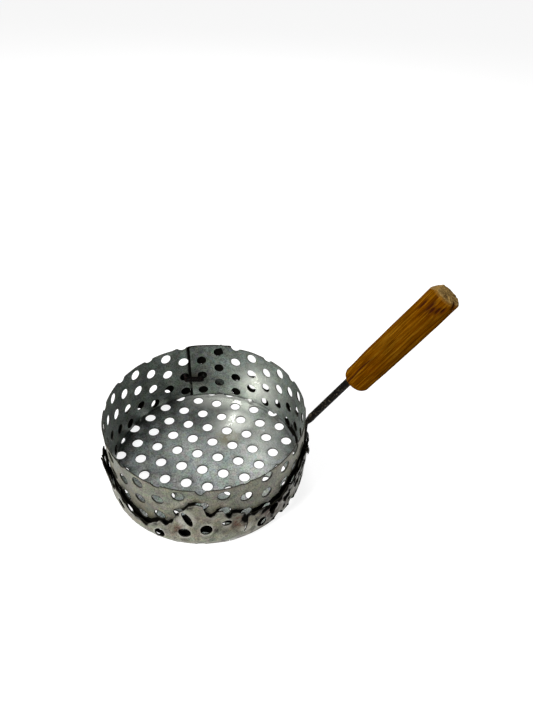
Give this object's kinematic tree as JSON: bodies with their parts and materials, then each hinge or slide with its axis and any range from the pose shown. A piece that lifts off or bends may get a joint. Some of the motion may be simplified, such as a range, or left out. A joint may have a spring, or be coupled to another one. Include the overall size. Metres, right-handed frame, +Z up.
{
  "type": "hand sifter",
  "caption": "Hand sifter: a punched galvanised sheet drum with a lapped side band in a turned-up perforated pan, and a steel rod handle with a wooden grip.",
  "frame": {"origin": "on the drum's axis at the underside of the pan, the face it rests on", "axes": "+Z up along the drum's axis; +X from the drum towards the handle, whose rod lies in the XZ plane; +Y to the side"},
  "size_m": [0.2612, 0.177, 0.2005],
  "materials": {
    "band_sheet": "weathered galvanised sheet",
    "pan_sheet": "weathered galvanised sheet, stained",
    "rod_steel": "dark scaled steel",
    "grip_wood": "worn oiled wood",
    "rivet_steel": "dull steel",
    "tie_wire": "rusty annealed wire"
  },
  "bodies": {
    "root": {"side_band": "band_sheet", "base_pan": "pan_sheet", "handle_rod": "rod_steel", "grip": "grip_wood", "upper_rivet": "rivet_steel", "lower_rivet": "rivet_steel", "lap_tie": "tie_wire"}
  },
  "joints": []
}
